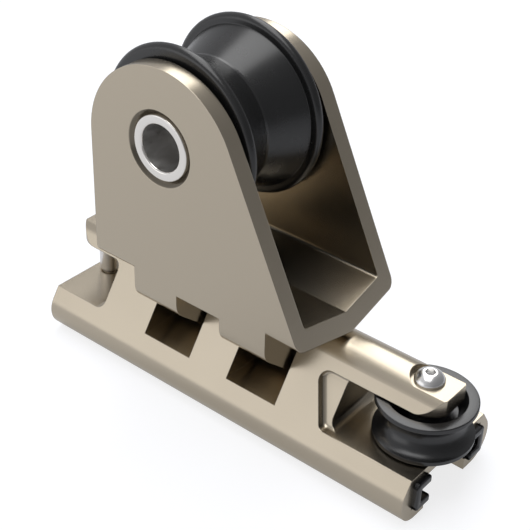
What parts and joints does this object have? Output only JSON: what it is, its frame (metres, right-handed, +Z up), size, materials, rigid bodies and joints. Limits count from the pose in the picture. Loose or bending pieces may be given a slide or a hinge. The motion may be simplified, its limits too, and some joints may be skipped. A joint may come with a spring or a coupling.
{
  "type": "genoa lead car",
  "caption": "Genoa lead car: a T-track slider with a tilting sheave box, a flat towing sheave under an arm at one end and a line pin in a notch at the other.",
  "frame": {"origin": "middle of the T-slot's mouth on the slider's underside plane", "axes": "+X along the track towards the towing sheave's end, +Y across the track, +Z up"},
  "size_m": [0.158, 0.0494, 0.1231],
  "materials": {
    "champagne_aluminium": "champagne anodised, satin",
    "sheave_black": "hard anodised black, satin",
    "tow_sheave_black": "turned acetal, satin",
    "strip_black": "glossy",
    "pin_steel": "ground",
    "screw_steel": "polished",
    "axle_steel": "turned, polished end faces",
    "bush_plastic": "smooth"
  },
  "bodies": {
    "slider": {"slider_body": "champagne_aluminium", "wear_strip_near": "strip_black", "wear_strip_far": "strip_black", "becket_pin": "pin_steel", "hinge_pin": "pin_steel", "hinge_set_screw": "pin_steel", "hinge_washer_rear": "bush_plastic", "hinge_washer_front": "bush_plastic", "tow_screw": "screw_steel", "tow_sleeve": "pin_steel", "tow_washer_upper": "bush_plastic", "tow_washer_lower": "bush_plastic"},
    "sheave_box": {"sheave_bracket": "champagne_aluminium", "hinge_bush_rear": "bush_plastic", "hinge_bush_front": "bush_plastic", "axle_tube": "axle_steel", "side_washer_near": "bush_plastic", "side_washer_far": "bush_plastic"},
    "sheet_sheave": {"main_sheave": "sheave_black", "main_bush": "bush_plastic"},
    "towing_sheave": {"tow_sheave": "tow_sheave_black", "tow_bush": "bush_plastic"}
  },
  "joints": [
    {"name": "sheave_box_tilt", "type": "hinge", "parent": "slider", "child": "sheave_box", "pos_m": [0, 0, 0.03], "axis": [1, 0, 0], "range_deg": [-25, 25]},
    {"name": "sheet_sheave_spin", "type": "hinge", "parent": "sheave_box", "child": "sheet_sheave", "pos_m": [-0.0203, 0, 0.0933], "axis": [0, 1, 0], "continuous": true},
    {"name": "towing_sheave_spin", "type": "hinge", "parent": "slider", "child": "towing_sheave", "pos_m": [0.0654, 0, 0.0245], "axis": [0, 0, 1], "continuous": true}
  ]
}
